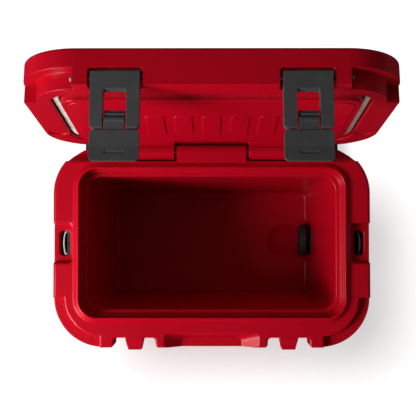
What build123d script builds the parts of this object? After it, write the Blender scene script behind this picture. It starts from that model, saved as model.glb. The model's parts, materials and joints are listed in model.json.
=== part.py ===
from build123d import *
import os
from math import cos, sin, tan, radians

# Hard-sided cooler on two wheels, with a hinged lid, two draw latches, a telescoping tow handle
# and a side drain. Millimetres. X is across the cooler, -Y is the front with the latches, +Y the
# back with the hinge, +Z is up. Everything is drawn round the tub's own centre with the lid shut.
# The lid is then turned open, and at the end all of it is moved so that the origin is the middle
# of the footprint, on the floor.

# ---------------------------------------------------------------- driving dimensions: the tub
RIM_Z = 432.0                    # flat top of the rim above the floor
TUB_X, TUB_Y = 510.0, 328.0      # plan size over the rim band
CORNER_R = 80.0                  # corner radius of the rim band in plan
BAND_H = 47.0                    # height of the rim band
OVERHANG = 11.0                  # how far the band stands out from the walls below it
BASE_Z = 26.0                    # underside of the tub
WALL_DRAFT = 2.0                 # degrees, outer walls
BAND_Z = RIM_Z - BAND_H
WALL_X, WALL_Y, WALL_R = TUB_X - 2 * OVERHANG, TUB_Y - 2 * OVERHANG, CORNER_R - OVERHANG

# The ice box: a lip round the opening, two small ledges, then drafted walls.
OPEN_X, OPEN_Y, OPEN_R = 424.6, 237.6, 29.0
OPEN_CY = 4.0                    # the opening sits a little behind the tub's centre
LEDGE_IN = (4.0, 11.0)           # how far each ledge steps in from the opening
LEDGE_Z = (RIM_Z - 8.0, RIM_Z - 17.0)
LIP_Z = RIM_Z + 8.0              # top of the raised lip that meets the gasket
LIP_TOP_W, LIP_FOOT_W = 2.5, 10.0
FLOOR_Z = 82.0
BOX_DRAFT = 1.86
SKIN = 4.0                       # thickness of the moulded skin round the foam

# ---------------------------------------------------------------- the lid and its hinge
LID_X, LID_FRONT, LID_BACK = 514.0, -166.0, 164.0
LID_R = 81.0
LID_Z = RIM_Z + 3.0              # underside of the lid when it is shut
LID_T = 51.0
LID_TOP = LID_Z + LID_T
LID_CY, LID_Y = (LID_FRONT + LID_BACK) / 2, LID_BACK - LID_FRONT
HINGE_Y, HINGE_Z = 150.5, RIM_Z - 12.0
LID_OPEN = 98.0                  # degrees the lid stands open at rest
BARREL_R, KNUCKLE_R, TROUGH_R, TROUGH_DROP = 13.0, 12.0, 14.4, 17.0
KNUCKLE_X = 56.2                 # half length of the tub's middle knuckle
BARREL_X = (60.0, 172.0)         # each lid barrel, from the middle outwards
EAR_X = (175.5, 190.0)           # each outer ear of the tub
HINGE_PIN_R, PIN_CLEAR = 3.0, 0.08
GROOVE_IN, GROOVE_OUT = 6.8, 7.7  # gasket groove, either side of the opening's edge
GROOVE_DEEP = 14.0
GASKET_IN, GASKET_OUT, GASKET_T = 2.8, 5.2, 8.7
CORNER_MARK_X, CORNER_MARK_Y = 235.0, HINGE_Y - 75
CORNER_MARK_R, CORNER_MARK_T = 16.0, 1.5
PANEL_DROP = (4.0, 5.2, 6.4)     # how far the panel, its inner step and its bars stand down from the lid

# ---------------------------------------------------------------- the latches
LATCH_X = 123.7                  # each latch's middle, from the centre
LATCH_PIN_Y, LATCH_PIN_Z = -161.0, LID_Z + 10.5
LATCH_PIN_R = 2.5
FRAME_W, FRAME_FRONT, FRAME_BACK = 64.0, -168.0, -156.0
FRAME_TOP, LEG_END = 9.6, 68.0   # above and below the pin
WINDOW_W, WINDOW_TOP = 30.0, 18.0
LEVER_PIN_DROP, LEVER_PIN_R = 56.0, 2.0
TONGUE_W, TONGUE_TOP = 26.3, 43.3
PLATE_W, PLATE_TOP, PLATE_END = 63.5, 70.0, 110.5
POCKET_W, POCKET_DEEP, POCKET_H = 71.0, 22.0, 23.8
CHANNEL_DEEP, CHANNEL_MOUTH, CHANNEL_ROOT = 16.0, 34.0, 33.0
TAB_ROOT, TAB_TIP, TAB_NOSE, TAB_H = 15.5, 10.9, -167.5, 29.0

# ---------------------------------------------------------------- corner, side and front recesses
NOTCH_X, NOTCH_Y = 180.0, -84.0  # where the corner recesses begin
NOTCH_DEEP, NOTCH_IN_TUB, NOTCH_IN_LID = 18.0, 12.0, 24.0
EDGE_R = 3.0                     # rounding of the edges where the rim's recesses meet its top
SIDE_CY, SIDE_L, SIDE_DEEP, SIDE_DROP = 4.0, 64.0, 31.0, 13.0
SLOT_X, SLOT_L, SLOT_W, SLOT_DEEP = 237.8, 40.0, 16.0, 30.0
SCOOP_TOP, SCOOP_FOOT, SCOOP_DROP = 76.5, 48.5, 20.0
SCOOP_BACK_TOP, SCOOP_BACK_FOOT = -140.4, -149.0

# ---------------------------------------------------------------- drain
DRAIN_Y, DRAIN_Z = 4.9, 103.0
DRAIN_TUBE_R, DRAIN_BORE_R = 15.0, 10.0
DRAIN_IN_X, DRAIN_OUT_X = 194.0, 220.0   # wall faces that the fitting clamps
DRAIN_FLANGE_R, DRAIN_RECESS_R = 31.0, 34.0
DRAIN_FACE_X, DRAIN_DISC_T = 172.0, 12.0   # inner end of the fitting, and its disc

# ---------------------------------------------------------------- wheels and axle
WHEEL_R, WHEEL_W = 76.0, 44.0
AXLE_Y, AXLE_Z, AXLE_R = 172.0, 76.0, 6.0
WHEEL_IN_X = 199.0               # inner face of each wheel
WHEEL_OUT_X = WHEEL_IN_X + WHEEL_W
WELL_X, WELL_R = 196.0, 83.0
AXLE_END_X = 250.0
WASHER_R, BUSH_R = 11.0, 9.0
CARRIER_R, CARRIER_X = 17.0, 196.0

# ---------------------------------------------------------------- tow handle, leaning back along the open lid
LEAN = LID_OPEN - 90.0
HANDLE_Y, HANDLE_Z = 183.5, 100.0   # foot of the handle's axis
TUBE_X = 62.0                    # each tube's distance from the middle
SLEEVE, MID, INNER = (26.0, 17.0), (22.4, 13.4), (19.2, 10.2)
TUBE_WALL, TUBE_R = 1.3, 5.0
SLEEVE_L, STAGE_TRAVEL = 262.0, 225.0
GRIP_L, GRIP_T, GRIP_H = 150.0, 21.0, 30.0
COLLAR = (262.3, 271.6)          # the middle stage's collar, along the handle
GRIP_Z = 272.0                   # underside of the grip along the handle
BUTTON_X, BUTTON_Y, BUTTON_TRAVEL = 36.0, 11.0, 3.5
BRACKET_X, BRACKET = 84.0, (228.0, 262.0)
HANDLE = Pos(0, HANDLE_Y, HANDLE_Z) * Rot(-LEAN, 0, 0)

# ---------------------------------------------------------------- feet and screws
FOOT_X, FOOT_Y, FOOT_L, FOOT_W = 165.0, -104.0, 90.0, 34.0
FOOT_SCREWS = [(x, FOOT_Y) for x in (-190, -140, 140, 190)]
BACK_SCREWS = [(-130, 110), (130, 110), (-96, 340), (96, 340)]
SCREW_R, SCREW_HEAD_R = 2.5, 5.0

# Turning the lid open about its hinge, and the last move of everything to the middle of the footprint.
OPEN_LID = Pos(0, HINGE_Y, HINGE_Z) * Rot(-LID_OPEN, 0, 0) * Pos(0, -HINGE_Y, -HINGE_Z)
TO_MIDDLE = Pos(0, -46, 0)


# ================================================================ helpers
def slab(length, width, radius, z_low, z_high, centre_y=0.0):
    """A straight block with rounded corners in plan."""
    face = Pos(0, centre_y, z_low) * RectangleRounded(length, width, radius)
    return extrude(face, z_high - z_low)


def drafted(length, width, radius, z_top, z_low, draft, centre_y=0.0):
    """A block with rounded corners whose walls draw in towards the bottom."""
    face = Pos(0, centre_y, z_top) * RectangleRounded(length, width, radius)
    return extrude(face, z_top - z_low, dir=(0, 0, -1), taper=draft)


def box(x, y, z):
    """A block from (low, high) pairs along each axis."""
    size = [b - a for a, b in (x, y, z)]
    mid = [(a + b) / 2 for a, b in (x, y, z)]
    return Pos(*mid) * Box(*size)


def rod(radius, x_from, x_to, y, z):
    """A cylinder along X."""
    return Pos((x_from + x_to) / 2, y, z) * Rot(0, 90, 0) * Cylinder(radius, abs(x_to - x_from))


def prism_x(points, x_from, x_to):
    """A polygon of (y, z) points drawn out along X."""
    outline = Plane.YZ.offset(x_from) * make_face(Polyline(*points, close=True))
    return extrude(outline, x_to - x_from)


def prism_z(points, z_from, z_to):
    """A polygon of (x, y) points drawn up along Z."""
    return extrude(Pos(0, 0, z_from) * make_face(Polyline(*points, close=True)), z_to - z_from)


def both_sides(part):
    """A right-hand piece and its mirror image."""
    return part + mirror(part, Plane.YZ)


def edges_at(part, z, tolerance=0.05):
    """The edges that lie wholly in the level plane z."""
    found = [e for e in part.edges() if abs(e.bounding_box().min.Z - z) < tolerance]
    return [e for e in found if abs(e.bounding_box().max.Z - z) < tolerance]


# ================================================================ tub
def band_and_walls():
    band = drafted(TUB_X, TUB_Y, CORNER_R, RIM_Z, BAND_Z, 1.5)
    band = fillet(edges_at(band, RIM_Z), 5)
    band = fillet(edges_at(band, BAND_Z), 6)
    walls = drafted(WALL_X, WALL_Y, WALL_R, BAND_Z + 6, BASE_Z, WALL_DRAFT)
    walls = fillet(edges_at(walls, BASE_Z), 14)
    return band + walls


def raised_lip():
    grow = 2 * LIP_FOOT_W
    foot = Pos(0, OPEN_CY, RIM_Z) * RectangleRounded(OPEN_X + grow, OPEN_Y + grow, OPEN_R + LIP_FOOT_W)
    angle = 43.15                # from the foot's width to the top's over the lip's height
    lip = extrude(foot, LIP_Z - RIM_Z, taper=angle)
    lip -= slab(OPEN_X, OPEN_Y, OPEN_R, RIM_Z - 1, LIP_Z + 1, OPEN_CY)
    return fillet(edges_at(lip, LIP_Z), 1.1)


def ice_box():
    """What is cut away inside: the mouth, the two ledges with their noses rounded, and the drafted box."""
    first, second = LEDGE_IN
    cut = slab(OPEN_X, OPEN_Y, OPEN_R, LEDGE_Z[0], LIP_Z + 1, OPEN_CY)
    cut += slab(OPEN_X - 2 * first, OPEN_Y - 2 * first, OPEN_R - first, LEDGE_Z[1], LEDGE_Z[0], OPEN_CY)
    well = drafted(OPEN_X - 2 * second, OPEN_Y - 2 * second, OPEN_R - 5, LEDGE_Z[1], FLOOR_Z,
                   BOX_DRAFT, OPEN_CY)
    cut += fillet(edges_at(well, FLOOR_Z), 8)
    for step, z in zip(LEDGE_IN, LEDGE_Z):
        nose = [e for e in edges_at(cut, z) if inside_plan(e, OPEN_X / 2 - step, OPEN_Y / 2 - step)]
        cut = fillet(nose, 1.6)
    return cut


def inside_plan(edge, half_x, half_y, tolerance=0.1):
    """Whether an edge lies within a rectangle about the opening's middle."""
    bounds = edge.bounding_box()
    reach_x = max(abs(bounds.min.X), abs(bounds.max.X))
    reach_y = max(abs(bounds.min.Y - OPEN_CY), abs(bounds.max.Y - OPEN_CY))
    return reach_x < half_x + tolerance and reach_y < half_y + tolerance


def drain_bay():
    """A shallow upright bay in the right wall and a dished run in the floor that leads to the drain."""
    half, flare = 34.0, 12.0
    outline = [(160, DRAIN_Y - half - 3 * flare), (DRAIN_IN_X, DRAIN_Y - half),
               (DRAIN_IN_X, DRAIN_Y + half), (160, DRAIN_Y + half + 3 * flare)]
    bay = prism_z(outline, FLOOR_Z, FLOOR_Z + 150)
    bay = fillet(bay.edges().filter_by(Axis.Z).group_by(Axis.X)[-1], 6)
    dish_r, dish_x = 50.0, 142.0
    dish_z = FLOOR_Z - 12 + dish_r
    dish = rod(dish_r, dish_x, DRAIN_IN_X, DRAIN_Y, dish_z)
    dish += Pos(dish_x, DRAIN_Y, dish_z) * Sphere(dish_r)
    dish &= box((60, DRAIN_IN_X), (-100, 120), (FLOOR_Z - 20, FLOOR_Z + 9))
    return bay + dish


def hinge_trough():
    """The round-bottomed channel along the back of the rim that the lid's barrels turn in."""
    far = TUB_X
    trough = rod(TROUGH_R, -far, far, HINGE_Y, HINGE_Z)
    trough += box((-far, far), (HINGE_Y - TROUGH_R, HINGE_Y + 60), (HINGE_Z, RIM_Z + 20))
    return trough + box((-far, far), (HINGE_Y - 3, HINGE_Y + 60), (HINGE_Z - TROUGH_DROP, RIM_Z + 20))


def knuckle(x_from, x_to):
    """A hinge knuckle of the tub: round at the back, level with the rim in front."""
    front, foot = HINGE_Y - TROUGH_R - 3, HINGE_Z - TROUGH_R - 3
    outline = [(front, foot), (HINGE_Y + 6, foot), (HINGE_Y + 6, HINGE_Z),
               (HINGE_Y, HINGE_Z + KNUCKLE_R), (front, RIM_Z)]
    web = prism_x(outline, x_from, x_to)
    whole = web + rod(KNUCKLE_R, x_from, x_to, HINGE_Y, HINGE_Z)
    return whole & slab(TUB_X, TUB_Y, CORNER_R, BAND_Z, RIM_Z + 5)


def latch_channel(x):
    """The recess in the band's front that a latch lies in, with a rounded root and a flared mouth."""
    face, root = -TUB_Y / 2, -TUB_Y / 2 + CHANNEL_DEEP
    wide = CHANNEL_MOUTH + 3.5
    outline = [(x - wide, face - 40), (x + wide, face - 40), (x + wide, face),
               (x + CHANNEL_MOUTH, face + 3.5), (x + CHANNEL_ROOT, root), (x - CHANNEL_ROOT, root),
               (x - CHANNEL_MOUTH, face + 3.5), (x - wide, face)]
    channel = prism_z(outline, BAND_Z - 30, RIM_Z + 10)
    return fillet(channel.edges().filter_by(Axis.Z).group_by(Axis.Y)[-1], 5.5)


def keeper_tab(x):
    """The tab that a latch's frame drops over and its tongue hooks under."""
    root_y = -TUB_Y / 2 + CHANNEL_DEEP + 2
    low = RIM_Z - TAB_H
    outline = [(x - TAB_ROOT, root_y), (x + TAB_ROOT, root_y), (x + TAB_TIP, TAB_NOSE),
               (x - TAB_TIP, TAB_NOSE)]
    tab = prism_z(outline, low - 2, RIM_Z)
    tab = fillet(tab.edges().filter_by(Axis.Z).group_by(Axis.Y)[0], 2)
    ramp = [(-151.5, RIM_Z), (-162.0, RIM_Z - 8), (-180, RIM_Z - 8), (-180, RIM_Z)]
    tab -= prism_x(ramp, x - 30, x + 30)
    return tab - box((x - 30, x + 30), (TAB_NOSE + 3.5, root_y + 5), (low - 5, low))


def corner_recess(edge_x, front, radius, z_low, z_high):
    """The strap recess at the front right corner: a quarter ring cut in from the outside."""
    block = box((NOTCH_X, edge_x + 60), (front - 60, NOTCH_Y), (z_low, z_high))
    inner_y = front + NOTCH_DEEP
    core = slab(2 * (edge_x - NOTCH_DEEP), 400, radius - NOTCH_DEEP, z_low - 1, z_high + 1, inner_y + 200)
    return block - core


def vent_dots(z_from, z_to, radius_at):
    """Two pin-sized vents in each corner recess."""
    centre_x, centre_y = TUB_X / 2 - CORNER_R, -TUB_Y / 2 + CORNER_R
    dots = []
    for angle in (12.5, 76.5):
        x = centre_x + radius_at * cos(radians(angle))
        y = centre_y - radius_at * sin(radians(angle))
        dots.append(Pos(x, y, (z_from + z_to) / 2) * Cylinder(1.2, z_to - z_from))
    return dots[0] + dots[1]


def side_recess():
    """The dropped shelf at the middle of the right side."""
    edge = TUB_X / 2
    shelf = box((edge - SIDE_DEEP, edge + 60), (SIDE_CY - SIDE_L / 2, SIDE_CY + SIDE_L / 2),
                (RIM_Z - SIDE_DROP, RIM_Z + 20))
    shelf = fillet(shelf.edges().filter_by(Axis.Z).group_by(Axis.X)[0], 7)
    return fillet(shelf.edges().group_by(Axis.Z)[0].group_by(Axis.X)[0], 3)


def strap_slot():
    """The slot through the right-hand shelf, wider at its top edge."""
    shelf_z = RIM_Z - SIDE_DROP
    outline = RectangleRounded(SLOT_W, SLOT_L, 6)
    slot = extrude(Pos(SLOT_X, SIDE_CY, shelf_z - SLOT_DEEP) * outline, SLOT_DEEP + 1)
    mouth = RectangleRounded(SLOT_W + 3, SLOT_L + 3, 7.5)
    return slot + extrude(Pos(SLOT_X, SIDE_CY, shelf_z) * mouth, -1.5, taper=45)


def front_scoop():
    """The shallow finger scoop in the middle of the rim's front, with ramped ends."""
    front = -TUB_Y / 2 - 30
    top_z, foot_z = RIM_Z + 4.0, RIM_Z - SCOOP_DROP
    rise = (top_z - foot_z) / SCOOP_DROP
    half_top = SCOOP_FOOT + (SCOOP_TOP - SCOOP_FOOT) * rise
    back_top = SCOOP_BACK_FOOT + (SCOOP_BACK_TOP - SCOOP_BACK_FOOT) * rise
    faces = []
    for half, back, z in ((half_top, back_top, top_z), (SCOOP_FOOT, SCOOP_BACK_FOOT, foot_z)):
        faces.append(Pos(0, (front + back) / 2, z) * RectangleRounded(2 * half, back - front, 8))
    return loft(faces, ruled=True)


def rim_die():
    """A block wider than the rim, with the rim's recesses cut in it and their top edges rounded."""
    reach_x, reach_y = TUB_X / 2 + 40, TUB_Y / 2 + 40
    die = box((-reach_x, reach_x), (-reach_y, reach_y), (BASE_Z - 20, RIM_Z))
    die -= hinge_trough()
    for side in (1, -1):
        die -= latch_channel(side * LATCH_X)
    die -= both_sides(corner_recess(TUB_X / 2, -TUB_Y / 2, CORNER_R, RIM_Z - NOTCH_IN_TUB, RIM_Z + 20))
    die -= both_sides(side_recess())
    die -= front_scoop()
    outer = [(reach_x, Axis.X), (reach_y, Axis.Y)]
    rounded = edges_at(die, RIM_Z)
    for reach, axis in outer:
        rounded = [e for e in rounded if not on_side(e, axis, reach)]
    return fillet(rounded, EDGE_R)


def on_side(edge, axis, reach):
    """Whether an edge lies in one of the two outer faces of a block, square to the axis."""
    bounds = edge.bounding_box()
    low, high = (bounds.min.X, bounds.max.X) if axis == Axis.X else (bounds.min.Y, bounds.max.Y)
    return high - low < 0.01 and abs(abs(low) - reach) < 0.01


def tub_foam():
    """The foam core: the hollow inside the moulded skin."""
    core = drafted(WALL_X - 2 * SKIN, WALL_Y - 2 * SKIN, WALL_R - SKIN, BAND_Z - 5, BASE_Z + SKIN,
                   WALL_DRAFT)
    core += slab(436, 261, 44, BAND_Z - 9, RIM_Z - 21, -3.5)
    grow = 2 * (SKIN - LEDGE_IN[1])
    core -= drafted(OPEN_X + grow, OPEN_Y + grow, OPEN_R - 5 + SKIN, RIM_Z, FLOOR_Z - SKIN,
                    BOX_DRAFT, OPEN_CY)
    for side in (1, -1):
        core -= rod(WELL_R + SKIN, side * (WELL_X - SKIN), side * 300, AXLE_Y, AXLE_Z)
    core -= rod(DRAIN_TUBE_R + SKIN, 150, 260, DRAIN_Y, DRAIN_Z)
    core -= rod(DRAIN_RECESS_R + SKIN, DRAIN_OUT_X - SKIN, 260, DRAIN_Y, DRAIN_Z)
    core -= box((150, DRAIN_IN_X + SKIN), (DRAIN_Y - 40, DRAIN_Y + 40), (BASE_Z, FLOOR_Z + 160))
    core -= box((88, 160), (DRAIN_Y - 40, DRAIN_Y + 40), (FLOOR_Z - 16, FLOOR_Z))
    for side in (1, -1):
        latch_x = side * LATCH_X
        core -= box((latch_x - 42, latch_x + 42), (-TUB_Y, -TUB_Y / 2 + CHANNEL_DEEP + SKIN),
                    (BAND_Z - 34, RIM_Z))
    for x, z in BACK_SCREWS:
        core -= Pos(x, WALL_Y / 2, z) * Rot(90, 0, 0) * Cylinder(9, 60)
    for x, y in FOOT_SCREWS:
        core -= Pos(x, y, BASE_Z) * Cylinder(9, 40)
    return core


def wall_y(z):
    """Where the tub's back wall is at height z."""
    return WALL_Y / 2 - (BAND_Z + 6 - z) * tan(radians(WALL_DRAFT))


def back_screw(x, z, radius, y_from, y_to):
    """A cylinder along Y at one of the back screws, measured outwards from the wall."""
    wall = wall_y(z)
    return Pos(x, wall + (y_from + y_to) / 2, z) * Rot(90, 0, 0) * Cylinder(radius, y_to - y_from)


def tub():
    body = (band_and_walls() & rim_die()) + raised_lip()
    body -= ice_box()
    body -= drain_bay()
    body += knuckle(-KNUCKLE_X, KNUCKLE_X)
    body += both_sides(knuckle(*EAR_X))
    for side in (1, -1):
        body += keeper_tab(side * LATCH_X)
        body -= rod(HINGE_PIN_R, side * 28, side * EAR_X[1], HINGE_Y, HINGE_Z)
        body -= rod(5.2, side * (EAR_X[1] - 3), side * (EAR_X[1] + 5), HINGE_Y, HINGE_Z)
        body -= rod(WELL_R, side * WELL_X, side * 300, AXLE_Y, AXLE_Z)
    body -= both_sides(vent_dots(RIM_Z - NOTCH_IN_TUB - 3, RIM_Z - NOTCH_IN_TUB, CORNER_R - 12.5))
    body -= both_sides(strap_slot())
    for side in (1, -1):
        body -= anchor_screws(side)
        body += Pos(side * OPEN_X / 2, OPEN_CY, LIP_Z - 5.6) * Sphere(4.8)
    body -= rod(DRAIN_TUBE_R, DRAIN_IN_X - 5, 260, DRAIN_Y, DRAIN_Z)
    body -= rod(DRAIN_RECESS_R, DRAIN_OUT_X, 260, DRAIN_Y, DRAIN_Z)
    for x, z in BACK_SCREWS:
        body -= back_screw(x, z, SCREW_R, -18, 5)
    for x, y in FOOT_SCREWS:
        body -= Pos(x, y, BASE_Z) * Cylinder(SCREW_R, 24)
    return body


# ================================================================ lid, drawn shut
def lid_solid():
    plan = Pos(0, LID_CY, LID_Z) * RectangleRounded(LID_X, LID_Y, LID_R)
    whole = extrude(plan, LID_T, taper=1.0)
    whole = fillet(edges_at(whole, LID_TOP), 4.5)
    whole = fillet(edges_at(whole, LID_Z), 1.5)
    dish = RectangleRounded(LID_X - 110, LID_Y - 110, 40)
    return whole - extrude(Pos(0, LID_CY, LID_TOP - 2.5) * dish, 5, taper=-30)


def groove_ring(inside, outside, z_from, z_to):
    """A ring that follows the opening's edge, from inside it to outside it."""
    outer = slab(OPEN_X + 2 * outside, OPEN_Y + 2 * outside, OPEN_R + outside, z_from, z_to, OPEN_CY)
    core = slab(OPEN_X - 2 * inside, OPEN_Y - 2 * inside, OPEN_R - inside, z_from - 1, z_to + 1,
                OPEN_CY)
    return outer - core


def panel():
    """The part of the lid that stands down into the mouth, with a row of plain bars on it."""
    first, second, third = (LID_Z - drop for drop in PANEL_DROP)
    grow = -2 * GROOVE_IN
    whole = slab(OPEN_X + grow, OPEN_Y + grow, OPEN_R - GROOVE_IN, first, LID_Z + 1, OPEN_CY)
    whole = fillet(edges_at(whole, first), 1.5)
    inner = slab(OPEN_X + grow - 18, OPEN_Y + grow - 18, 16, second, first + 0.5, OPEN_CY)
    whole += fillet(edges_at(inner, second), 0.8)
    for k in range(-2, 3):
        bar = Pos(k * 41.0, HINGE_Y - 133, 0) * slab(27, 104, 6, third, second + 0.5)
        whole += fillet(edges_at(bar, third), 0.8)
    return whole


def latch_pocket(x):
    pocket = box((x - POCKET_W / 2, x + POCKET_W / 2), (LID_FRONT - 10, LID_FRONT + POCKET_DEEP),
                 (LID_Z - 10, LID_Z + POCKET_H))
    pocket = fillet(pocket.edges().filter_by(Axis.Z).group_by(Axis.Y)[-1], 4)
    return fillet(pocket.edges().filter_by(Axis.X).group_by(Axis.Z)[-1].group_by(Axis.Y)[-1], 5)


def lid_barrel():
    web = box(BARREL_X, (HINGE_Y - 10, HINGE_Y + BARREL_R), (HINGE_Z, LID_Z + 3))
    return web + rod(BARREL_R, *BARREL_X, HINGE_Y, HINGE_Z)


def lid_foam():
    core = slab(LID_X - 20, LID_Y - 20, LID_R - 10, LID_Z + GROOVE_DEEP + SKIN, LID_TOP - 7.5, LID_CY)
    grow = -2 * (GROOVE_IN + SKIN)
    core += slab(OPEN_X + grow, OPEN_Y + grow, 18, LID_Z + 1, LID_TOP - 10, OPEN_CY)
    for side in (1, -1):
        x = side * LATCH_X
        half = POCKET_W / 2 + SKIN
        core -= box((x - half, x + half), (LID_FRONT, LID_FRONT + POCKET_DEEP + SKIN),
                    (LID_Z, LID_Z + POCKET_H + SKIN))
    notch = box((NOTCH_X - SKIN, LID_X), (LID_FRONT - 20, NOTCH_Y + SKIN),
                (LID_Z, LID_Z + NOTCH_IN_LID + SKIN + 3))
    deep = NOTCH_DEEP + SKIN
    keep = slab(LID_X - 2 * deep, 400, LID_R - deep, LID_Z - 1, LID_TOP, LID_FRONT + deep + 200)
    return core - both_sides(notch - keep)


def corner_mark():
    """A low round recess in the lid's underside, near its back corner."""
    return Pos(CORNER_MARK_X, CORNER_MARK_Y, LID_Z) * Cylinder(CORNER_MARK_R, 2 * CORNER_MARK_T)


def lid():
    whole = lid_solid()
    whole -= groove_ring(GROOVE_IN, GROOVE_OUT, LID_Z - 1, LID_Z + GROOVE_DEEP)
    whole += panel()
    whole += both_sides(lid_barrel())
    whole -= both_sides(rod(HINGE_PIN_R + PIN_CLEAR, BARREL_X[0] - 1, BARREL_X[1] + 1, HINGE_Y, HINGE_Z))
    notch = corner_recess(LID_X / 2, LID_FRONT, LID_R, LID_Z - 1, LID_Z + NOTCH_IN_LID)
    whole -= both_sides(notch)
    whole -= both_sides(vent_dots(LID_Z + NOTCH_IN_LID, LID_Z + NOTCH_IN_LID + 3, LID_R - 12.5))
    whole -= both_sides(corner_mark())
    for side in (1, -1):
        whole -= latch_pocket(side * LATCH_X)
        whole -= rod(LATCH_PIN_R, side * 76, side * 190, LATCH_PIN_Y, LATCH_PIN_Z)
    return whole


def gasket():
    ring = groove_ring(GASKET_IN, GASKET_OUT, LID_Z + GROOVE_DEEP - GASKET_T, LID_Z + GROOVE_DEEP)
    return fillet(edges_at(ring, LID_Z + GROOVE_DEEP - GASKET_T), 1.5)


# ================================================================ hinge pins and latches
def hinge_pin(side):
    shank = rod(HINGE_PIN_R, side * 28, side * EAR_X[1] - side, HINGE_Y, HINGE_Z)
    return shank + rod(5, side * (EAR_X[1] - 3), side * (EAR_X[1] - 0.5), HINGE_Y, HINGE_Z)


def latch_pin(side):
    shank = rod(LATCH_PIN_R, side * 76, side * NOTCH_X, LATCH_PIN_Y, LATCH_PIN_Z)
    return shank + rod(4.4, side * NOTCH_X, side * (NOTCH_X + 2.5), LATCH_PIN_Y, LATCH_PIN_Z)


def latch_frame():
    """The upper half of a latch: a frame whose window drops over the keeper tab."""
    top, foot = LATCH_PIN_Z + FRAME_TOP, LATCH_PIN_Z - LEG_END
    window_z = LATCH_PIN_Z - WINDOW_TOP
    half = FRAME_W / 2
    plate = box((-half, half), (FRAME_FRONT, FRAME_BACK), (foot, top))
    plate = fillet(plate.edges().filter_by(Axis.Y).group_by(Axis.Z)[-1], 3)
    plate = fillet(plate.edges().filter_by(Axis.Y).group_by(Axis.Z)[0], 7)
    section = RectangleRounded(FRAME_BACK - FRAME_FRONT, top - foot, 3)
    section = Pos((FRAME_FRONT + FRAME_BACK) / 2, (foot + top) / 2) * section
    plate &= extrude(Plane.YZ.offset(-half) * section, 2 * half)
    window = box((-WINDOW_W / 2, WINDOW_W / 2), (FRAME_FRONT - 1, FRAME_BACK + 1), (foot - 20, window_z))
    plate -= fillet(window.edges().filter_by(Axis.Y).group_by(Axis.Z)[-1], 3)
    half_window = WINDOW_W / 2 - 1
    back_corner = [(FRAME_BACK + 1, window_z - 1), (FRAME_BACK + 1, window_z + 5),
                   (FRAME_BACK - 5, window_z - 1)]
    front_corner = [(FRAME_FRONT - 1, window_z - 1), (FRAME_FRONT - 1, window_z + 4),
                    (FRAME_FRONT + 4, window_z - 1)]
    bevel = prism_x(back_corner, -half_window, half_window)
    plate -= bevel + prism_x(front_corner, -half_window, half_window)
    plate -= rod(LATCH_PIN_R + PIN_CLEAR, -40, 40, LATCH_PIN_Y, LATCH_PIN_Z)
    return plate - rod(LEVER_PIN_R, -40, 40, -162, LATCH_PIN_Z - LEVER_PIN_DROP)


def lever_pin():
    return rod(LEVER_PIN_R, -FRAME_W / 2, FRAME_W / 2, -162, LATCH_PIN_Z - LEVER_PIN_DROP)


def latch_lever():
    """The lower half: a tongue that hooks under the tab, and the plate that is pulled."""
    pin_z = LATCH_PIN_Z - LEVER_PIN_DROP
    half = TONGUE_W / 2
    tongue = box((-half, half), (-163.6, -156.5), (pin_z, LATCH_PIN_Z - TONGUE_TOP))
    tongue += rod(6, -half, half, -162, pin_z)
    tongue += rod(2.2, -half, half, -163.8, LATCH_PIN_Z - 48)
    tongue += box((-half, half), (-167, -158.5), (LATCH_PIN_Z - PLATE_TOP - 2, pin_z))
    top, foot = LATCH_PIN_Z - PLATE_TOP, LATCH_PIN_Z - PLATE_END
    profile = [(-161.0, top), (-168.0, top), (-168.0, top - 22), (-171.0, foot), (-166.0, foot),
               (-161.0, top - 26)]
    wide = PLATE_W / 2
    plate = prism_x(profile, -wide, wide)
    corners = box((-wide, wide), (-175, -155), (foot, top))
    corners = fillet(corners.edges().filter_by(Axis.Y).group_by(Axis.Z)[0], 6)
    corners = fillet(corners.edges().filter_by(Axis.Y).group_by(Axis.Z)[-1], 4)
    plate &= corners
    mark = Pos(0, -169.4, LATCH_PIN_Z - 98) * Rot(5, 0, 0) * Box(24, 2, 5)
    lever = tongue + plate - mark
    return lever - rod(LEVER_PIN_R + PIN_CLEAR, -40, 40, -162, pin_z)


# ================================================================ drain
def drain_flange():
    """The inner half of the drain: a dished disc on a short neck, and the tube through the wall."""
    face, back = DRAIN_FACE_X, DRAIN_FACE_X + DRAIN_DISC_T
    disc = rod(DRAIN_FLANGE_R, face, back, DRAIN_Y, DRAIN_Z)
    disc = fillet(disc.edges().filter_by(GeomType.CIRCLE), 2)
    disc -= rod(DRAIN_FLANGE_R - 4, face - 1, face + 6, DRAIN_Y, DRAIN_Z)
    arm = DRAIN_FLANGE_R - 3
    cross = box((face + 1.5, face + 7), (DRAIN_Y - arm, DRAIN_Y + arm), (DRAIN_Z - 2.5, DRAIN_Z + 2.5))
    cross += box((face + 1.5, face + 7), (DRAIN_Y - 2.5, DRAIN_Y + 2.5), (DRAIN_Z - arm, DRAIN_Z + arm))
    cross += rod(DRAIN_TUBE_R - 1, face + 2, face + 7, DRAIN_Y, DRAIN_Z)
    neck = rod(22, back - 1, DRAIN_IN_X - 1.5, DRAIN_Y, DRAIN_Z)
    whole = disc + cross + neck + rod(DRAIN_TUBE_R, back, 226, DRAIN_Y, DRAIN_Z)
    return whole - rod(DRAIN_BORE_R, face - 1, 230, DRAIN_Y, DRAIN_Z)


def drain_gasket():
    ring = rod(DRAIN_FLANGE_R - 3, DRAIN_IN_X - 1.5, DRAIN_IN_X, DRAIN_Y, DRAIN_Z)
    return ring - rod(DRAIN_TUBE_R, DRAIN_IN_X - 5, DRAIN_IN_X + 5, DRAIN_Y, DRAIN_Z)


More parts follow.
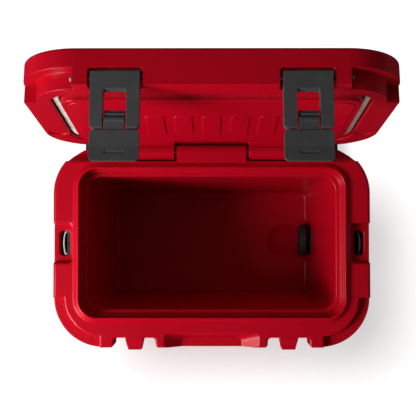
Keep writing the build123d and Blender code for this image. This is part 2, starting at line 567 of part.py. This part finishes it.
def drain_nut():
    nut = rod(26, DRAIN_OUT_X, DRAIN_OUT_X + 6, DRAIN_Y, DRAIN_Z)
    notch = Pos(0, 28, 0) * Rot(0, 90, 0) * Cylinder(4, 8)
    for k in range(8):
        nut -= Pos(DRAIN_OUT_X + 3, DRAIN_Y, DRAIN_Z) * Rot(45 * k, 0, 0) * notch
    return nut - rod(DRAIN_TUBE_R, DRAIN_OUT_X - 1, DRAIN_OUT_X + 8, DRAIN_Y, DRAIN_Z)


def drain_plug():
    cap = rod(20, 228, 237, DRAIN_Y, DRAIN_Z)
    cap = fillet(cap.edges().filter_by(GeomType.CIRCLE).group_by(Axis.X)[-1], 2)
    for side in (1, -1):
        cap -= Pos(235, DRAIN_Y + side * 10.5, DRAIN_Z) * Box(8, 13, 30)
    shank = rod(DRAIN_BORE_R - 0.1, 206, 229, DRAIN_Y, DRAIN_Z)
    shank -= rod(12, 208.25, 211.75, DRAIN_Y, DRAIN_Z) - rod(6.5, 208, 212, DRAIN_Y, DRAIN_Z)
    return cap + shank


def drain_seals():
    """The O-ring in the plug's groove and the flat washer under its cap."""
    ring = Pos(210, DRAIN_Y, DRAIN_Z) * Rot(0, 90, 0) * Torus(8.25, 1.45)
    washer = rod(19, 226.2, 227.7, DRAIN_Y, DRAIN_Z)
    return ring + washer - rod(10.4, 226, 228, DRAIN_Y, DRAIN_Z)


# ================================================================ strap anchors in the side slots
def strap_anchor(side):
    """A bowed steel loop that stands on its pad's foot."""
    outer, thick = 60.0, 2.2
    low, high = RIM_Z - SIDE_DROP - 26, RIM_Z - SIDE_DROP - 1
    half = SLOT_L / 2 - 1.2
    arc = Cylinder(outer, high - low) - Cylinder(outer - thick, high - low)
    arc = Pos(SLOT_X + 3 - outer, SIDE_CY, (low + high) / 2) * arc
    arc &= box((SLOT_X - 6, SLOT_X + 8), (SIDE_CY - half, SIDE_CY + half), (low, high))
    for end in (-1, 1):
        inner, tip = SIDE_CY + end * (half - 2.2), SIDE_CY + end * half
        arc += box((SLOT_X - 3.6, SLOT_X - 0.6), (min(inner, tip), max(inner, tip)), (low, high))
    return mirror(arc, Plane.YZ) if side < 0 else arc


def anchor_pad(side):
    """The black pad behind a strap anchor, with a foot along the bottom of the slot."""
    floor, low, high = (RIM_Z - SIDE_DROP - down for down in (SLOT_DEEP, 26, 2))
    half = SLOT_L / 2 - 0.8
    pad = box((SLOT_X - SLOT_W / 2, SLOT_X - 3.6), (SIDE_CY - half, SIDE_CY + half), (low, high))
    pad -= box((SLOT_X - SLOT_W / 2 + 1.6, SLOT_X), (SIDE_CY - 0.6, SIDE_CY + 0.6), (low + 2, high))
    pad += box((SLOT_X - SLOT_W / 2, SLOT_X + SLOT_W / 2 - 1), (SIDE_CY - half, SIDE_CY + half),
               (floor, low))
    pad &= extrude(Pos(SLOT_X, SIDE_CY, floor) * RectangleRounded(SLOT_W, SLOT_L, 6), high - floor)
    if side < 0:
        pad = mirror(pad, Plane.YZ)
    return pad - anchor_screws(side)


def anchor_screws(side):
    shape = None
    for y in (SIDE_CY - 10, SIDE_CY + 10):
        z = RIM_Z - SIDE_DROP - 12
        screw = rod(1.8, side * (SLOT_X - 15), side * (SLOT_X - 3.4), y, z)
        screw += rod(3.2, side * (SLOT_X - 5.4), side * (SLOT_X - 3.6), y, z)
        shape = screw if shape is None else shape + screw
    return shape


# ================================================================ wheels and axle
def wheel_bore(radius, side):
    """A cylinder along the axle, a little longer than the wheel is wide."""
    return rod(radius, side * (WHEEL_IN_X - 2), side * (WHEEL_OUT_X + 2), AXLE_Y, AXLE_Z)


def wheel_hub(side):
    whole = rod(17, side * (WHEEL_IN_X + 0.5), side * (WHEEL_OUT_X - 0.5), AXLE_Y, AXLE_Z)
    rim = rod(WHEEL_R - 16, side * (WHEEL_IN_X + 2), side * (WHEEL_OUT_X - 2), AXLE_Y, AXLE_Z)
    whole += rim - wheel_bore(WHEEL_R - 23, side)
    middle = side * (WHEEL_IN_X + WHEEL_W * 0.6)
    for k in range(6):
        spoke = Pos(0, 0, 35) * Box(14, 13, 40)
        whole += Pos(middle, AXLE_Y, AXLE_Z) * Rot(60 * k, 0, 0) * spoke
    return whole - wheel_bore(BUSH_R, side)


def tyre(side):
    ring = rod(WHEEL_R, side * WHEEL_IN_X, side * WHEEL_OUT_X, AXLE_Y, AXLE_Z)
    ring = fillet(ring.edges().filter_by(GeomType.CIRCLE), 6)
    for k in (-1, 0, 1):
        x = side * (WHEEL_IN_X + WHEEL_W / 2 + 9 * k)
        groove = rod(WHEEL_R + 2, x - 1.2, x + 1.2, AXLE_Y, AXLE_Z)
        ring -= groove - rod(WHEEL_R - 2.2, x - 3, x + 3, AXLE_Y, AXLE_Z)
    return ring - wheel_bore(WHEEL_R - 16, side)


def bushing(side):
    ring = rod(BUSH_R, side * WHEEL_IN_X, side * WHEEL_OUT_X, AXLE_Y, AXLE_Z)
    return ring - wheel_bore(AXLE_R + PIN_CLEAR, side)


def axle():
    return rod(AXLE_R, -AXLE_END_X, AXLE_END_X, AXLE_Y, AXLE_Z)


def axle_washers():
    pair = both_sides(rod(WASHER_R, CARRIER_X, WHEEL_IN_X - 0.5, AXLE_Y, AXLE_Z))
    pair += both_sides(rod(WASHER_R, WHEEL_OUT_X + 0.5, WHEEL_OUT_X + 2, AXLE_Y, AXLE_Z))
    return pair - axle()


def axle_caps():
    cap = rod(12, WHEEL_OUT_X + 2, AXLE_END_X + 3, AXLE_Y, AXLE_Z)
    cap = fillet(cap.edges().filter_by(GeomType.CIRCLE).group_by(Axis.X)[-1], 3)
    return both_sides(cap) - axle()


def axle_carrier():
    """The moulding across the tub's back that holds the axle and the feet of the handle's sleeves."""
    block = rod(CARRIER_R, -CARRIER_X, CARRIER_X, AXLE_Y, AXLE_Z)
    block += box((-CARRIER_X, CARRIER_X), (125, AXLE_Y), (AXLE_Z - CARRIER_R, AXLE_Z + CARRIER_R))
    block += box((-150, 150), (125, 151), (AXLE_Z, 124))
    for side in (1, -1):
        socket = Pos(side * TUBE_X, 0, 6) * Box(SLEEVE[0] + 10, SLEEVE[1] + 9, 46)
        block += HANDLE * fillet(socket.edges().filter_by(Axis.Z), 4)
        foot_outline = [(130, 80), (130, 120), (178, 120), (178, 80)]
        block += prism_x(foot_outline, side * TUBE_X - 12, side * TUBE_X + 12)
    block -= band_and_walls()
    for x, z in BACK_SCREWS[:2]:
        block -= back_screw(x, z, SCREW_HEAD_R + 1.5, 4, 30)
        block -= back_screw(x, z, SCREW_R, -5, 10)
    return block - sleeve_hole(80) - axle()


# ================================================================ tow handle, drawn upright along its own axis
def tube(size, x, low, high):
    radius = TUBE_R - (SLEEVE[0] - size[0]) / 4
    outer = extrude(Pos(x, 0, low) * RectangleRounded(*size, radius), high - low)
    inside = (size[0] - 2 * TUBE_WALL, size[1] - 2 * TUBE_WALL)
    hollow = Pos(x, 0, low - 1) * RectangleRounded(*inside, radius - TUBE_WALL)
    return outer - extrude(hollow, high - low + 2)


def sleeve_hole(length):
    """The room the two sleeves take up, from their feet to the given length."""
    return HANDLE * both_sides(extrude(Pos(TUBE_X, 0, 0) * RectangleRounded(*SLEEVE, TUBE_R), length))


def sleeves():
    return HANDLE * both_sides(tube(SLEEVE, TUBE_X, 0, SLEEVE_L))


def handle_bracket():
    low, high = BRACKET
    bar = Pos(0, 0, (low + high) / 2) * Box(2 * BRACKET_X, SLEEVE[1] + 8, high - low)
    bar = HANDLE * fillet(bar.edges().filter_by(Axis.Z), 5)
    arm = prism_x([(145, 318), (145, 362), (216, 357), (211, 330)], BRACKET_X - 9, BRACKET_X)
    arm += prism_x([(145, 318), (145, 362), (213, 357), (208, 330)], 30, 38)
    arm += box((BRACKET_X - 9, 110), (145, 159), (318, 362))
    whole = bar + both_sides(arm)
    whole -= band_and_walls()
    for x, z in BACK_SCREWS[2:]:
        whole -= back_screw(x, z, SCREW_HEAD_R + 1.5, 4, 40)
        whole -= back_screw(x, z, SCREW_R, -5, 10)
    return whole - sleeve_hole(400)


def back_screws():
    shape = None
    for x, z in BACK_SCREWS:
        screw = back_screw(x, z, SCREW_R, -18, 4) + back_screw(x, z, SCREW_HEAD_R, 4, 7)
        shape = screw if shape is None else shape + screw
    return shape


def mid_tubes():
    return HANDLE * both_sides(tube(MID, TUBE_X, 3, COLLAR[0] + 1))


def mid_collar():
    low, high = COLLAR
    bar = Pos(0, 0, (low + high) / 2) * Box(2 * TUBE_X + SLEEVE[0] + 6, SLEEVE[1] + 4, high - low)
    bar = fillet(bar.edges().filter_by(Axis.Z), 6)
    pocket = extrude(Pos(TUBE_X, 0, low - 1) * RectangleRounded(*MID, TUBE_R - 0.9), 2)
    hole = extrude(Pos(TUBE_X, 0, low - 1) * RectangleRounded(INNER[0] + 0.6, INNER[1] + 0.6, 3.6), 20)
    return HANDLE * (bar - both_sides(pocket) - both_sides(hole))


def inner_tubes():
    return HANDLE * both_sides(tube(INNER, TUBE_X, 5, GRIP_Z + 14))


def grip():
    top = GRIP_Z + GRIP_H
    bar = box((-GRIP_L / 2, GRIP_L / 2), (-GRIP_T / 2, GRIP_T / 2), (GRIP_Z, top))
    bar = fillet(bar.edges().filter_by(Axis.Y), 9)
    bar -= fillet(box((-44, 44), (-20, 20), (GRIP_Z - 10, GRIP_Z + 10)).edges().filter_by(Axis.Y), 6)
    bar = fillet(bar.edges().filter_by(Axis.X), 4)
    bar -= extrude(Pos(0, 0, top - 14) * RectangleRounded(BUTTON_X + 0.8, BUTTON_Y + 0.8, 4.4), 20)
    socket = extrude(Pos(TUBE_X, 0, GRIP_Z - 1) * RectangleRounded(*INNER, TUBE_R - 1.7), 15)
    return HANDLE * (bar - both_sides(socket))


def grip_button():
    top = GRIP_Z + GRIP_H
    cap = extrude(Pos(0, 0, top - 9) * RectangleRounded(BUTTON_X, BUTTON_Y, 4), 13)
    cap = fillet(edges_at(cap, top + 4), 1.5)
    return HANDLE * (cap - Pos(0, 0, top - 6) * Cylinder(4.2, 8))


def button_spring():
    low = GRIP_Z + GRIP_H - 14
    coil = Helix(pitch=2.2, height=6.6, radius=3.0)
    wire = sweep(Plane(coil @ 0, z_dir=coil % 0) * Circle(0.45), coil)
    return HANDLE * (Pos(0, 0, low + 0.5) * wire)


# ================================================================ feet
def foot(side):
    pad = slab(FOOT_L, FOOT_W, 12, 0, BASE_Z)
    pad = Pos(side * FOOT_X, FOOT_Y, 0) * fillet(edges_at(pad, 0), 3)
    for x, y in FOOT_SCREWS:
        pad -= Pos(x, y, 6) * Cylinder(SCREW_HEAD_R + 1, 12)
        pad -= Pos(x, y, 20) * Cylinder(SCREW_R, 20)
    return pad


def foot_screws():
    shape = None
    for x, y in FOOT_SCREWS:
        screw = Pos(x, y, 25) * Cylinder(SCREW_R, 26) + Pos(x, y, 10.5) * Cylinder(SCREW_HEAD_R, 3)
        shape = screw if shape is None else shape + screw
    return shape


# ================================================================ the whole cooler
def fixed_parts():
    whole_tub = tub()
    core = tub_foam()
    return {"tub_shell": whole_tub - core, "tub_foam": core,
            "hinge_pin_left": hinge_pin(-1), "hinge_pin_right": hinge_pin(1),
            "drain_flange": drain_flange(), "drain_gasket": drain_gasket(), "drain_nut": drain_nut(),
            "strap_anchor_left": strap_anchor(-1), "strap_anchor_right": strap_anchor(1),
            "anchor_pad_left": anchor_pad(-1), "anchor_pad_right": anchor_pad(1),
            "anchor_screws": anchor_screws(-1) + anchor_screws(1),
            "axle": axle(), "axle_washers": axle_washers(), "axle_caps": axle_caps(),
            "axle_carrier": axle_carrier(), "handle_sleeves": sleeves(),
            "handle_bracket": handle_bracket(), "back_screws": back_screws(),
            "foot_left": foot(-1), "foot_right": foot(1), "foot_screws": foot_screws()}


def lid_parts():
    whole_lid = lid()
    core = lid_foam()
    parts = {"lid_shell": whole_lid - core, "lid_foam": core, "lid_gasket": gasket()}
    for side, name in ((-1, "left"), (1, "right")):
        across = Pos(side * LATCH_X, 0, 0)
        parts["latch_pin_" + name] = latch_pin(side)
        parts["latch_frame_" + name] = across * latch_frame()
        parts["lever_pin_" + name] = across * lever_pin()
        parts["latch_lever_" + name] = across * latch_lever()
    return {name: OPEN_LID * shape for name, shape in parts.items()}


def moving_parts():
    parts = {"drain_plug": drain_plug(), "drain_seals": drain_seals(),
             "handle_mid_tubes": mid_tubes(), "handle_mid_collar": mid_collar(),
             "handle_inner_tubes": inner_tubes(), "handle_grip": grip(),
             "handle_button": grip_button(), "button_spring": button_spring()}
    for side, name in ((-1, "left"), (1, "right")):
        parts["wheel_hub_" + name] = wheel_hub(side)
        parts["tyre_" + name] = tyre(side)
        parts["wheel_bushing_" + name] = bushing(side)
    return parts


def main():
    os.makedirs("parts", exist_ok=True)
    for group in (fixed_parts(), lid_parts(), moving_parts()):
        for name, shape in group.items():
            export_step(TO_MIDDLE * shape, "parts/" + name + ".step")


if __name__ == "__main__":
    main()
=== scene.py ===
"""Looks for the wheeled cooler: materials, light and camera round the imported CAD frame."""

import json
import math

import bpy
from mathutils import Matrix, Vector

# Where things are, in metres in the row frame.
RIM_Z = 0.432
CAMERA_HEIGHT = 1.440            # above the rim
CAMERA_Y = -0.0243
CAMERA_TILT = (1.533, 0.233)     # degrees: towards the back, and to the left
LENS = 77.6

# The area lights: place and target in metres, size in metres, power in watts.
KEY_LIGHT = {"place": (-1.6, -0.65, 1.75), "target": (0, 0, 0.42), "size": 0.8, "power": 47}
NEAR_LIGHT = {"place": (-0.6, -0.42, 0.58), "target": (-0.2, 0.1, 0.6), "size": 0.25, "power": 2.6}
ABOVE_LIGHT = {"place": (-0.62, 0.42, 3.0), "target": (0, 0, 0), "size": 0.8, "power": 62}
WORLD_STRENGTH = 0.12
FLOOR_SIZE, FLOOR_GLOW = 12, 0.55

RED = (0.46, 0.0009, 0.0112)
RED_EDGE_RADIUS, PLASTIC_EDGE_RADIUS = 0.0024, 0.001   # how far the shading rounds an edge


# ---------------------------------------------------------------- materials
class Nodes:
    """A short way to write a material's node tree."""

    def __init__(self, name):
        self.material = bpy.data.materials.new(name)
        self.material.use_nodes = True
        self.tree = self.material.node_tree
        self.shader = self.tree.nodes["Principled BSDF"]
        coords = self.add("ShaderNodeTexCoord")
        self.place = coords.outputs["Object"]

    def add(self, kind, **values):
        node = self.tree.nodes.new(kind)
        for key, value in values.items():
            setattr(node, key, value)
        return node

    def link(self, source, target):
        self.tree.links.new(source, target)

    def stretched(self, x, y, z):
        mapping = self.add("ShaderNodeMapping")
        mapping.inputs["Scale"].default_value = (x, y, z)
        self.link(self.place, mapping.inputs["Vector"])
        return mapping.outputs["Vector"]

    def noise(self, scale, detail=2.0, rough=0.5, place=None):
        node = self.add("ShaderNodeTexNoise")
        node.inputs["Scale"].default_value = scale
        node.inputs["Detail"].default_value = detail
        node.inputs["Roughness"].default_value = rough
        self.link(place or self.place, node.inputs["Vector"])
        return node.outputs["Fac"]

    def cells(self, scale, feature="F1"):
        node = self.add("ShaderNodeTexVoronoi", feature=feature)
        node.inputs["Scale"].default_value = scale
        self.link(self.place, node.inputs["Vector"])
        return node.outputs["Distance"]

    def ramp(self, factor, *stops):
        """A colour ramp from (position, colour) stops."""
        node = self.add("ShaderNodeValToRGB")
        elements = node.color_ramp.elements
        while len(elements) < len(stops):
            elements.new(0.5)
        for element, (position, colour) in zip(elements, stops):
            element.position = position
            element.color = (*colour, 1.0)
        self.link(factor, node.inputs["Fac"])
        return node.outputs["Color"]

    def between(self, factor, low, high):
        """factor, from 0 to 1, mapped to low to high."""
        node = self.add("ShaderNodeMapRange")
        node.inputs["To Min"].default_value = low
        node.inputs["To Max"].default_value = high
        self.link(factor, node.inputs["Value"])
        return node.outputs["Result"]

    def bump(self, height, strength, distance, over=None):
        node = self.add("ShaderNodeBump")
        node.inputs["Strength"].default_value = strength
        node.inputs["Distance"].default_value = distance
        self.link(height, node.inputs["Height"])
        if over is not None:
            self.link(over, node.inputs["Normal"])
        return node.outputs["Normal"]

    def soft_edges(self, radius):
        """The surface normal with every edge rounded by the radius."""
        node = self.add("ShaderNodeBevel", samples=8)
        node.inputs["Radius"].default_value = radius
        return node.outputs["Normal"]

    def colour(self, output):
        self.link(output, self.shader.inputs["Base Color"])

    def roughness(self, output):
        self.link(output, self.shader.inputs["Roughness"])

    def normal(self, output):
        self.link(output, self.shader.inputs["Normal"])

    def set(self, **values):
        for key, value in values.items():
            self.shader.inputs[key.replace("_", " ")].default_value = value


def scaled(colour, k):
    return tuple(c * k for c in colour)


def moulded_red(name):
    """Rotationally moulded polyethylene: satin, finely pebbled, with faint swirls of tone."""
    m = Nodes(name)
    swirl = m.noise(7, 4, 0.6)
    m.colour(m.ramp(swirl, (0.3, scaled(RED, 0.95)), (0.7, scaled(RED, 1.04))))
    m.roughness(m.between(m.noise(260, 3, 0.6), 0.24, 0.34))
    pebble = m.bump(m.noise(750, 2, 0.55), 0.08, 0.0003, over=m.soft_edges(RED_EDGE_RADIUS))
    m.normal(m.bump(m.noise(24, 1, 0.4), 0.03, 0.002, over=pebble))
    m.set(Specular_IOR_Level=0.22)
    return m.material


def plastic(name, colour, rough=(0.42, 0.56), grain=1400, depth=0.14):
    """Injection-moulded plastic with a fine spark texture."""
    m = Nodes(name)
    m.colour(m.ramp(m.noise(30, 4, 0.6), (0.3, scaled(colour, 0.88)), (0.7, scaled(colour, 1.12))))
    m.roughness(m.between(m.noise(340, 3, 0.6), *rough))
    edges = m.soft_edges(PLASTIC_EDGE_RADIUS)
    m.normal(m.bump(m.noise(grain, 2, 0.6), depth, 0.0003, over=edges))
    m.set(Specular_IOR_Level=0.3)
    return m.material


def rubber(name, colour, grain=900, depth=0.3):
    m = Nodes(name)
    m.colour(m.ramp(m.noise(45, 5, 0.65), (0.3, scaled(colour, 0.8)), (0.7, scaled(colour, 1.2))))
    m.roughness(m.between(m.noise(120, 3, 0.6), 0.68, 0.86))
    m.normal(m.bump(m.noise(grain, 3, 0.6), depth, 0.0003))
    m.set(Specular_IOR_Level=0.3)
    return m.material


def brushed(name, colour, stretch, rough=(0.2, 0.36)):
    """Drawn or brushed metal, its lines along the short scale of stretch."""
    m = Nodes(name)
    lines = m.noise(60, 4, 0.7, m.stretched(*stretch))
    m.colour(m.ramp(lines, (0.3, scaled(colour, 0.86)), (0.7, scaled(colour, 1.08))))
    m.roughness(m.between(lines, *rough))
    m.normal(m.bump(lines, 0.12, 0.0002))
    m.set(Metallic=1.0)
    return m.material


def foam(name):
    m = Nodes(name)
    cells = m.cells(420)
    m.colour(m.ramp(cells, (0.0, (0.62, 0.52, 0.32)), (0.6, (0.86, 0.79, 0.58))))
    m.roughness(m.between(cells, 0.8, 0.95))
    m.normal(m.bump(cells, 0.5, 0.0008))
    return m.material


def tyre_rubber(name):
    """Dark tyre rubber, mottled and finely rough."""
    m = Nodes(name)
    mottle = m.noise(60, 5, 0.65)
    m.colour(m.ramp(mottle, (0.3, (0.018, 0.018, 0.019)), (0.75, (0.036, 0.035, 0.034))))
    m.roughness(m.between(m.noise(90, 3, 0.6), 0.7, 0.9))
    m.normal(m.bump(m.noise(700, 3, 0.6), 0.35, 0.0004))
    m.set(Specular_IOR_Level=0.28)
    return m.material


SLOTS = {
    "tub_skin": moulded_red("tub_red"),
    "lid_skin": moulded_red("lid_red"),
    "foam": foam("insulating_foam"),
    "gasket": rubber("gasket_rubber", (0.72, 0.73, 0.66), 1200, 0.1),
    "steel": brushed("stainless_steel", (0.86, 0.87, 0.88), (0.05, 1, 1), (0.34, 0.5)),
    "latch_plastic": plastic("latch_plastic", (0.060, 0.060, 0.062)),
    "black_plastic": plastic("black_plastic", (0.022, 0.023, 0.025), (0.45, 0.62)),
    "rubber": rubber("black_rubber", (0.026, 0.026, 0.027)),
    "handle_tube": brushed("anodised_tube", (0.10, 0.10, 0.108), (1, 1, 0.03), (0.3, 0.42)),
    "button_plastic": plastic("button_plastic", (0.17, 0.17, 0.18)),
    "wheel_plastic": plastic("wheel_plastic", (0.04, 0.04, 0.043), (0.4, 0.55)),
    "tyre": tyre_rubber("tyre_rubber"),
    "bushing": plastic("nylon_bushing", (0.66, 0.65, 0.6), (0.3, 0.42)),
}


def dress(frame):
    """Materials by slot on every CAD node."""
    for entry in frame["record"]["subparts"]:
        for place in frame["nodes"][entry["node"]].material_slots:
            place.material = SLOTS[entry["material_slot"]]


# ---------------------------------------------------------------- stage
def make_floor():
    """A glowing white floor that the cooler's shine doesn't pick up."""
    bpy.ops.mesh.primitive_plane_add(size=FLOOR_SIZE, location=(0, 0, 0))
    floor = bpy.context.object
    floor.name = "floor"
    m = Nodes("studio_floor")
    m.colour(m.ramp(m.noise(3, 2), (0.3, (0.79, 0.79, 0.79)), (0.7, (0.81, 0.81, 0.81))))
    m.set(Roughness=0.9, Specular_IOR_Level=0.1)
    m.set(Emission_Color=(1, 1, 1, 1), Emission_Strength=FLOOR_GLOW)
    floor.data.materials.append(m.material)
    floor.visible_glossy = False
    return floor


def make_world():
    world = bpy.data.worlds.new("studio")
    world.use_nodes = True
    background = world.node_tree.nodes["Background"]
    background.inputs["Color"].default_value = (1, 1, 1, 1)
    background.inputs["Strength"].default_value = WORLD_STRENGTH
    world.cycles_visibility.glossy = False
    bpy.context.scene.world = world


def stage(frame):
    """The floor, the world and the lights: key and near light the cooler, above the floor."""
    floor = make_floor()
    make_world()

    key = area("key", **KEY_LIGHT)
    leave_out(key, "receiver_collection", "off_the_floor", [floor])
    near = area("near", **NEAR_LIGHT)
    leave_out(near, "receiver_collection", "near_off_the_floor", [floor])
    above = area("above", **ABOVE_LIGHT)
    pieces = [piece for piece in bpy.data.objects if piece.type == "MESH" and piece is not floor]
    leave_out(above, "receiver_collection", "off_the_cooler", pieces)
    leave_out(above, "blocker_collection", "no_lid_shadow", lid_and_latches(frame))


def lid_and_latches(frame):
    """The pieces of the lid, the latches and their levers."""
    bodies = frame["record"]["behaviour"]["bodies"]
    names = [body for body in bodies if body.startswith(("lid", "latch", "lever"))]
    return [frame["nodes"][node] for body in names for node in bodies[body]]


def leave_out(light, kind, name, pieces):
    """Stops a light lighting the pieces (a receiver) or being blocked by them (a blocker)."""
    group = bpy.data.collections.new(name)
    setattr(light.light_linking, kind, group)
    for piece in pieces:
        group.objects.link(piece)
    for entry in group.collection_objects:
        entry.light_linking.link_state = "EXCLUDE"


def area(name, place, target, size, power):
    """A square area light that faces its target."""
    data = bpy.data.lights.new(name, "AREA")
    data.size = size
    data.energy = power
    light = bpy.data.objects.new(name, data)
    light.location = place
    light.rotation_euler = (Vector(target) - Vector(place)).to_track_quat("-Z", "Y").to_euler()
    bpy.context.scene.collection.objects.link(light)
    return light


def camera():
    data = bpy.data.cameras.new("camera")
    data.lens = LENS
    data.sensor_width = 36
    eye = bpy.data.objects.new("camera", data)
    eye.location = (0, CAMERA_Y, RIM_Z + CAMERA_HEIGHT)
    eye.rotation_euler = (math.radians(CAMERA_TILT[0]), math.radians(CAMERA_TILT[1]), 0)
    bpy.context.scene.collection.objects.link(eye)
    bpy.context.scene.camera = eye


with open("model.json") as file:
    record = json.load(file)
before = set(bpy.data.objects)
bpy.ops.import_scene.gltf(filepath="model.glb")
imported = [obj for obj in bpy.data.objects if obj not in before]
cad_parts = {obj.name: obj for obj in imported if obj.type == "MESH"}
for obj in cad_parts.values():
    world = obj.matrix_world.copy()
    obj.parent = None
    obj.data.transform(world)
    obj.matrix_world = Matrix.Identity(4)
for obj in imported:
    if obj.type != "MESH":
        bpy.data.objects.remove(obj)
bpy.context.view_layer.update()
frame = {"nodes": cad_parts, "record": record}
bpy.context.scene.view_settings.view_transform = "Standard"
camera()
stage(frame)
dress(frame)
